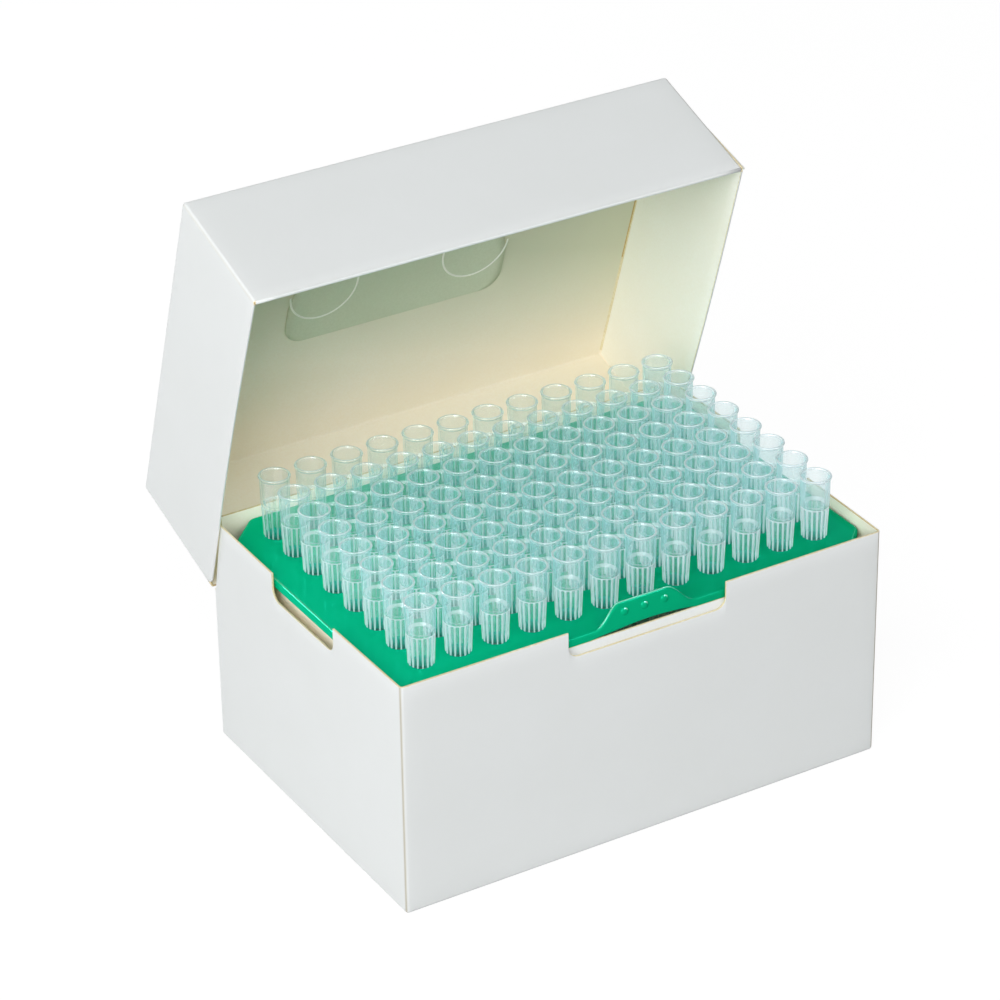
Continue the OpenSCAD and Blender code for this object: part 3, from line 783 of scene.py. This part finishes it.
def edge_section(crest, gap):
    """The section of the tray's edge for each station, as rows of (inset, height): flat plate, a fillet up to
    the ridge, the ridge's two quarter ellipses, the front face leaning by inset + height tan(lean), a
    round lower edge raised by the gap, and the skirt's inside back to the plate's underside."""
    none = np.zeros_like(crest)
    wall_top = np.maximum(crest - RIDGE_R, 0)
    rows = [(2.1 * MM, none)]
    for inset, climb in ((1.6 * MM, 0.1 * MM), (1.25 * MM, 0.4 * MM), (1.08 * MM, 1.0 * MM)):
        rows.append((inset, np.minimum(climb * np.clip(crest / MM, 0, 1), wall_top)))
    for a in np.linspace(0, math.pi / 2, 4):
        rows.append((EDGE_IN + RIDGE_R * math.cos(a), np.maximum(crest - RIDGE_R * (1 - math.sin(a)), 0)))
    for a in np.linspace(0, math.pi / 2, 6)[1:]:
        rows.append((EDGE_IN * (1 - math.sin(a)), crest - EDGE_DOWN * (1 - math.cos(a))))
    low = gap - SKIRT_H
    for t in np.linspace(0, 1, 6)[1:]:
        rows.append((0, (crest - EDGE_DOWN) * (1 - t) + (low + 0.2 * MM) * t))
    rows += [(0.06 * MM, low + 0.06 * MM), (0.2 * MM, low), (SKIRT_T - 0.1 * MM, low)]
    rows += [(SKIRT_T, np.maximum(low + 0.2 * MM, -PLATE_T)), (SKIRT_T + 0.9 * MM, none - PLATE_T)]
    inset = np.stack([none + row[0] for row in rows])
    height = np.stack([row[1] for row in rows])
    return inset + GRIP_LEAN * np.maximum(height, -PLATE_T) * np.clip(crest / GRIP_H, 0, 1), height


inset, height = edge_section(crest, gap)
inset = np.where(on_front, inset, np.minimum(inset, SKIRT_T))
flat = np.concatenate([border[None], rim[None] - inset[..., None] * facing[None], border[None]])
height = deck + np.concatenate([np.zeros((1, len(rim))), height, np.full((1, len(rim)), -PLATE_T)])
edge = np.concatenate([flat, height[..., None]], -1)

# A highlight is painted on the rounded edge along the grip's crest, and less of it on the left side and on
# the others.
CREST_ROWS, HIGHLIGHT_RISE, LEFT_HIGHLIGHT, SIDE_HIGHLIGHT = slice(8, 10), 0.8 * MM, 0.8, 0.3
painted_highlight = np.zeros(height.shape)
painted_highlight[CREST_ROWS] = np.where(facing[:, 0] < -0.99, LEFT_HIGHLIGHT, SIDE_HIGHLIGHT)
painted_highlight[CREST_ROWS, on_front] = np.clip(crest[on_front] / HIGHLIGHT_RISE, 0, 1)
parts.append((edge.reshape(-1, 3), grid_faces(len(edge), len(rim), True)[:, ::-1]))
highlighted.append(painted_highlight.ravel())

# Bumps: shallow caps of a sphere on the grip's leaning face, sqrt(R^2 - d^2) - (R - out) high, with a painted
# glint on the upper right of each.
BUMP_SUNK, GLINT_TURN, GLINT_ROWS = 0.2 * MM, math.radians(60), (5, 6)
cap_r = (BUMP_R**2 + BUMP_OUT**2) / (2 * BUMP_OUT)
distance = np.concatenate([[0, BUMP_R], BUMP_R * np.cos(np.linspace(0, math.pi / 2, 8))])
out = np.concatenate([[-BUMP_SUNK] * 2, np.sqrt(cap_r**2 - distance[2:] ** 2) - cap_r + BUMP_OUT])
turn = np.linspace(0, 2 * math.pi, 24, endpoint=False)
lean = math.atan(GRIP_LEAN)
uphill = np.array([0, math.sin(lean), math.cos(lean)])
outward = np.array([0, -math.cos(lean), math.sin(lean)])
ray = np.cos(turn)[:, None] * np.array([1, 0, 0]) + np.sin(turn)[:, None] * uphill
cap = distance[:, None, None] * ray + out[:, None, None] * outward
towards = np.clip(2 * np.cos(turn - GLINT_TURN) - 1, 0, 1)
glinting = np.isin(np.arange(len(distance)), GLINT_ROWS)[:, None] * towards
for place in (-1, 0, 1):
    middle = np.array([place * BUMP_SPAN, front_y, deck]) + BUMP_UP * uphill
    parts.append(((middle + cap).reshape(-1, 3), grid_faces(len(distance), len(turn), True)))
    highlighted.append(glinting.ravel())

starts = np.cumsum([0] + [len(points) for points, _ in parts])
points = np.concatenate([points for points, _ in parts])
faces = np.concatenate([faces + start for start, (_, faces) in zip(starts, parts)])
tray = piece("tip_tray", points, faces, (GREEN,))
give_values(tray, "painted_highlight", np.concatenate(highlighted))
finish_piece(tray, "box", "tray_plastic", "tray", smooth_angle=38)

# ---------------------------------------------------------------------------------------------
# Tips. Thin injection mouldings in clear polypropylene: a beaded rim, a smooth collar, ribs that
# end in free feet on the tray, and a long cone. The walls are 0.4 to 0.6 mm thick.
# ---------------------------------------------------------------------------------------------

# Clear polypropylene: a see-through wall with a milky veil, 1 - exp(-haze / cos^1.5), so that it is clearest
# where it faces the eye and whitest at its outlines, ribs and beads, and a thin mirror gloss. A wall's inner
# face veils and mirrors less, and rays that only carry light pass the wall more easily.
material, tree = new_material("clear_polypropylene")
haze = add(tree, "Attribute", attribute_name="haze").outputs["Fac"]
away = add(tree, "LayerWeight", {"Blend": 0.5}).outputs["Facing"]
square_on = add(tree, "Math", {0: 1.0, 1: away}, operation="SUBTRACT")
square_on = add(tree, "Math", {0: square_on, 1: 0.12}, operation="MAXIMUM")
square_on = add(tree, "Math", {0: square_on, 1: 1.5}, operation="POWER")
depth = add(tree, "Math", {0: haze, 1: square_on}, operation="DIVIDE")
clear = add(tree, "Math", {0: math.exp(-1), 1: depth}, operation="POWER")
veil = add(tree, "Math", {0: 1.0, 1: clear}, operation="SUBTRACT")
inner = add(tree, "NewGeometry").outputs["Backfacing"]
near = add(tree, "MapRange", {"Value": inner, "To Min": 1.0, "To Max": 0.4})
path = add(tree, "LightPath").outputs
unseen = add(tree, "Math", {0: path["Is Shadow Ray"], 1: path["Is Diffuse Ray"]}, operation="MAXIMUM")
dense = {"Value": haze, "From Min": 0.5, "From Max": 1.3, "To Min": 0.28, "To Max": 0.22}
kept = add(tree, "MixRGB", {0: unseen, 1: (1, 1, 1, 1), 2: add(tree, "MapRange", dense)})
veil = add(tree, "Math", {0: veil, 1: kept}, operation="MULTIPLY")
veil = add(tree, "Math", {0: veil, 1: near}, operation="MULTIPLY")
gloss = add(tree, "Math", {0: away, 1: 4.0}, operation="POWER")
gloss = add(tree, "MapRange", {"Value": gloss, "To Min": 0.09, "To Max": 0.55})
gloss = add(tree, "Math", {0: gloss, 1: near}, operation="MULTIPLY")
passing = add(tree, "MapRange", {"Value": unseen, "To Min": 1.0, "To Max": 0.4})
gloss = add(tree, "Math", {0: gloss, 1: passing}, operation="MULTIPLY")
whiter = add(tree, "MapRange", {"Value": haze, "From Min": 0.05, "From Max": 0.45})
tint = add(tree, "MixRGB", {0: whiter, 1: linear("#B4F0F6"), 2: linear("#ECF8FF")})
lit = add(tree, "BsdfDiffuse", {"Color": tint})
glowing = add(tree, "BsdfTranslucent", {"Color": tint})
cloudy = add(tree, "MixShader", {0: 0.5, 1: lit, 2: glowing})
wall = add(tree, "MixShader", {0: veil, 1: add(tree, "BsdfTransparent"), 2: cloudy})
shine = add(tree, "BsdfGlossy", {"Color": linear("#F3FCFF"), "Roughness": 0.05})
add(tree, "OutputMaterial", {"Surface": add(tree, "MixShader", {0: gloss, 1: wall, 2: shine})})
CLEAR = material

RIBS, LEDGE = 16, 2.3 * MM
RIM_R, COLLAR_R, SHOULDER_R = 3.6 * MM, 3.3 * MM, 3.15 * MM
CORE_R, NECK_R, END_R, BORE_END_R = 2.5 * MM, 2.15 * MM, 0.5 * MM, 0.25 * MM
top, end, ledge = tips_high.z, tips_low.z, deck + LEDGE
shoulder = deck + 7.4 * MM

# Each rib is walked from its foot over its flat face and down again, then on to the middle of the gap.
period = 2 * math.pi / RIBS
rib_marks = np.array([-0.2, -0.13, 0.13, 0.2, 0.5]) * period
angle = (np.arange(RIBS)[:, None] * period + rib_marks).ravel()
on_rib = np.tile([0.0, 1.0, 1.0, 0.0, 0.0], RIBS)


def hoop(z, r, haze):
    """A row of the tip's profile that is the same all round: height, radius and haze."""
    return (z, r, z, r, haze, haze)


# Each row: height and radius between the ribs, height and radius on the ribs, haze between and on them.
tip_profile = np.array(
    [
        hoop(end, BORE_END_R, 0.1),
        hoop(end, END_R, 0.1),
        hoop(end + 12 * MM, 1.05 * MM, 0.1),
        hoop(deck - 8 * MM, 1.85 * MM, 0.06),
        hoop(deck - 0.2 * MM, NECK_R, 0.02),
        hoop(ledge - 0.1 * MM, NECK_R, 0.04),
        (ledge, CORE_R - 0.05 * MM, ledge, 2.42 * MM, 0.03, 0.04),
        (ledge, CORE_R - 0.03 * MM, deck + 0.3 * MM, 2.5 * MM, 0.03, 0.06),
        (ledge, CORE_R - 0.02 * MM, deck + 0.05 * MM, 2.62 * MM, 0.03, 0.3),
        (ledge, CORE_R - 0.01 * MM, deck + 0.05 * MM, 2.76 * MM, 0.03, 1.6),
        (ledge, CORE_R, deck + 0.3 * MM, 2.87 * MM, 0.03, 1.6),
        (ledge + 0.1 * MM, CORE_R + 0.1 * MM, ledge, 2.94 * MM, 0.06, 0.8),
        (shoulder - 0.5 * MM, CORE_R + 0.25 * MM, shoulder - 0.5 * MM, SHOULDER_R, 0.06, 0.8),
        (shoulder - 0.05 * MM, CORE_R + 0.35 * MM, shoulder - 0.05 * MM, SHOULDER_R, 0.4, 1.0),
        (shoulder, SHOULDER_R, shoulder, SHOULDER_R + 0.02 * MM, 1.8, 1.8),
        hoop(shoulder + 0.12 * MM, SHOULDER_R + 0.05 * MM, 1.8),
        hoop(shoulder + 0.3 * MM, SHOULDER_R + 0.06 * MM, 0.08),
        hoop(top - 0.78 * MM, COLLAR_R, 0.08),
        hoop(top - 0.66 * MM, COLLAR_R + 0.1 * MM, 1.2),
        hoop(top - 0.5 * MM, RIM_R - 0.06 * MM, 0.25),
        hoop(top - 0.3 * MM, RIM_R, 0.15),
        hoop(top - 0.1 * MM, RIM_R - 0.07 * MM, 0.4),
        hoop(top, RIM_R - 0.22 * MM, 1.3),
        hoop(top - 0.02 * MM, 3.22 * MM, 0.7),
        hoop(top - 0.12 * MM, 3.1 * MM, 0.3),
        hoop(top - 0.4 * MM, 3.02 * MM, 0.07),
        hoop(shoulder + 0.75 * MM, 2.72 * MM, 0.07),
        hoop(shoulder + 0.6 * MM, 2.66 * MM, 0.45),
        hoop(shoulder + 0.15 * MM, 2.25 * MM, 0.45),
        hoop(shoulder - 0.1 * MM, 2.14 * MM, 0.1),
        hoop(deck + 2.2 * MM, 2.02 * MM, 0.08),
        hoop(deck + 1.5 * MM, 1.78 * MM, 0.04),
        hoop(deck - 8 * MM, 1.42 * MM, 0.04),
        hoop(end, BORE_END_R, 0.1),
    ]
)
between, on_ribs = tip_profile[:, [0, 1, 4]], tip_profile[:, [2, 3, 5]]
tip_rows = between[:, None] + (on_ribs - between)[:, None] * on_rib[:, None]
height, radius, tip_haze = np.moveaxis(tip_rows, -1, 0)
tip = np.stack([radius * np.cos(angle), radius * np.sin(angle), height], -1)
tip_faces = np.arange(ROWS)[:, None, None] * tip_haze.size + grid_faces(len(tip), len(angle), True)
tips_y = grid_y + (np.arange(ROWS) - (ROWS - 1) / 2) * PITCH

# Painted light and shade: the front row and the right end get more milky veil, where more light falls on
# them, and the rows at the back less, in the lid's shade.
ROW_LIT_HAZE = np.array([1.15, 1, 1, 1, 1, 1, 0.75, 0.4])
END_COLUMN_LIT_HAZE, RIGHT_LIT_HAZE = 1.0, 0.35
for number in range(1, COLUMNS + 1):
    node = f"tips_column_{number:02d}"
    low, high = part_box(node)
    places = np.stack(np.broadcast_arrays((low.x + high.x) / 2, tips_y, 0), -1)
    column = piece(f"clear_{node}", places[:, None, None] + tip, tip_faces.reshape(-1, 4), (CLEAR,))
    to_right = (number - 1) / (COLUMNS - 1)
    share = ROW_LIT_HAZE + RIGHT_LIT_HAZE * to_right**2 + END_COLUMN_LIT_HAZE * to_right**20
    give_values(column, "haze", np.outer(share, tip_haze))
    finish_piece(column, "box", "tip_plastic", node, smooth_angle=38)
